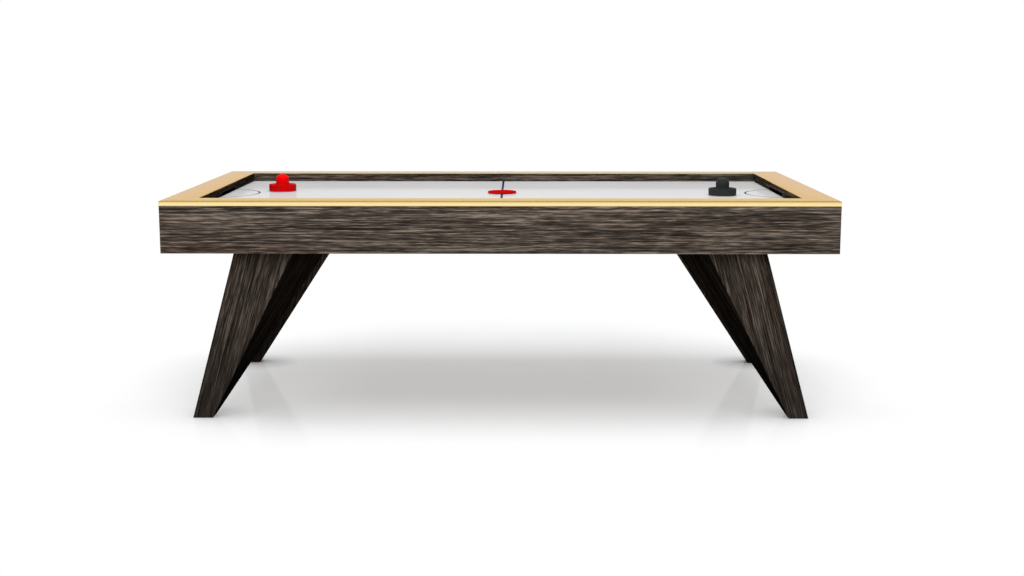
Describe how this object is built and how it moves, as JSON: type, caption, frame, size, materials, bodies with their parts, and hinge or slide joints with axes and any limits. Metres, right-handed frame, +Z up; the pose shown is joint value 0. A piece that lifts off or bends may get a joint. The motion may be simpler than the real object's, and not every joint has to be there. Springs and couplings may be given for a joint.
{
  "type": "air hockey table",
  "caption": "Air hockey table with dark veneered cabinet, brass-capped rails, faceted splayed legs, perforated air bed over a blower, mallets and a puck.",
  "frame": {"origin": "on the floor, under the middle of the table", "axes": "+X along the table's length, +Y across it, +Z up"},
  "size_m": [2.438, 1.321, 0.8658],
  "materials": {
    "veneer": "satin, dark grey-brown open-grain veneer",
    "brass_trim": "satin, pale brushed brass sheet",
    "bed_laminate": "semi-gloss white laminate with air holes",
    "plywood": "raw plywood, sealed",
    "steel": "zinc plated",
    "blower_metal": "pressed sheet",
    "rubber": "matte",
    "black_plastic": "fine moulded texture",
    "red_switch": "gloss",
    "red_plastic": "gloss",
    "puck_plastic": "gloss",
    "dark_plastic": "gloss",
    "felt": "pressed felt"
  },
  "bodies": {
    "table": {"apron_back": "veneer", "apron_front": "veneer", "apron_left": "veneer", "apron_right": "veneer", "base_panel": "plywood", "blower_cover": "blower_metal", "blower_gasket": "rubber", "blower_housing": "blower_metal", "corner_block_back_left": "plywood", "corner_block_back_right": "plywood", "corner_block_front_left": "plywood", "corner_block_front_right": "plywood", "cross_beam_left": "plywood", "cross_beam_right": "plywood", "goal_box_left": "black_plastic", "goal_box_right": "black_plastic", "goal_liner_left": "black_plastic", "goal_liner_right": "black_plastic", "inlet_grille": "black_plastic", "leg_back_left": "veneer", "leg_back_right": "veneer", "leg_front_left": "veneer", "leg_front_right": "veneer", "leg_plate_back_left": "steel", "leg_plate_back_right": "steel", "leg_plate_front_left": "steel", "leg_plate_front_right": "steel", "motor_bearing": "steel", "motor_casing": "steel", "playing_bed": "bed_laminate", "plenum_floor": "plywood", "plenum_frame": "plywood", "plenum_rib_1": "plywood", "plenum_rib_2": "plywood", "plenum_rib_3": "plywood", "plenum_rib_4": "plywood", "power_cable": "rubber", "rail_back": "veneer", "rail_cap_back": "brass_trim", "rail_cap_front": "brass_trim", "rail_cap_left": "brass_trim", "rail_cap_right": "brass_trim", "rail_front": "veneer", "rail_left": "veneer", "rail_right": "veneer", "switch_bezel": "black_plastic"},
    "fan": {"fan_impeller": "black_plastic", "motor_rotor": "steel"},
    "rocker": {"switch_rocker": "red_switch"},
    "left_mallet": {"mallet_left": "red_plastic", "mallet_felt_left": "felt"},
    "right_mallet": {"mallet_right": "dark_plastic", "mallet_felt_right": "felt"},
    "puck": {"puck": "puck_plastic"},
    "foot_front_left": {"glide_front_left": "rubber"},
    "foot_front_right": {"glide_front_right": "rubber"},
    "foot_back_left": {"glide_back_left": "rubber"},
    "foot_back_right": {"glide_back_right": "rubber"}
  },
  "joints": [
    {"name": "fan_spin", "type": "hinge", "parent": "table", "child": "fan", "pos_m": [0, 0, 0.7], "axis": [0, 0, 1], "continuous": true},
    {"name": "switch_rock", "type": "hinge", "parent": "table", "child": "rocker", "pos_m": [1.21105, 0.43, 0.716], "axis": [0, 1, 0], "range_deg": [-16, 0]},
    {"name": "left_mallet_slide", "type": "slide", "parent": "table", "child": "left_mallet", "axis": [0, 1, 0], "range_m": [-0.58, 0.39]},
    {"name": "right_mallet_slide", "type": "slide", "parent": "table", "child": "right_mallet", "axis": [0, 1, 0], "range_m": [-0.41, 0.56]},
    {"name": "puck_slide", "type": "slide", "parent": "table", "child": "puck", "axis": [1, 0, 0], "range_m": [-0.72, 0.72]},
    {"name": "foot_front_left_adjust", "type": "slide", "parent": "table", "child": "foot_front_left", "axis": [0, 0, -1], "range_m": [0, 0.012]},
    {"name": "foot_front_right_adjust", "type": "slide", "parent": "table", "child": "foot_front_right", "axis": [0, 0, -1], "range_m": [0, 0.012]},
    {"name": "foot_back_left_adjust", "type": "slide", "parent": "table", "child": "foot_back_left", "axis": [0, 0, -1], "range_m": [0, 0.012]},
    {"name": "foot_back_right_adjust", "type": "slide", "parent": "table", "child": "foot_back_right", "axis": [0, 0, -1], "range_m": [0, 0.012]}
  ]
}
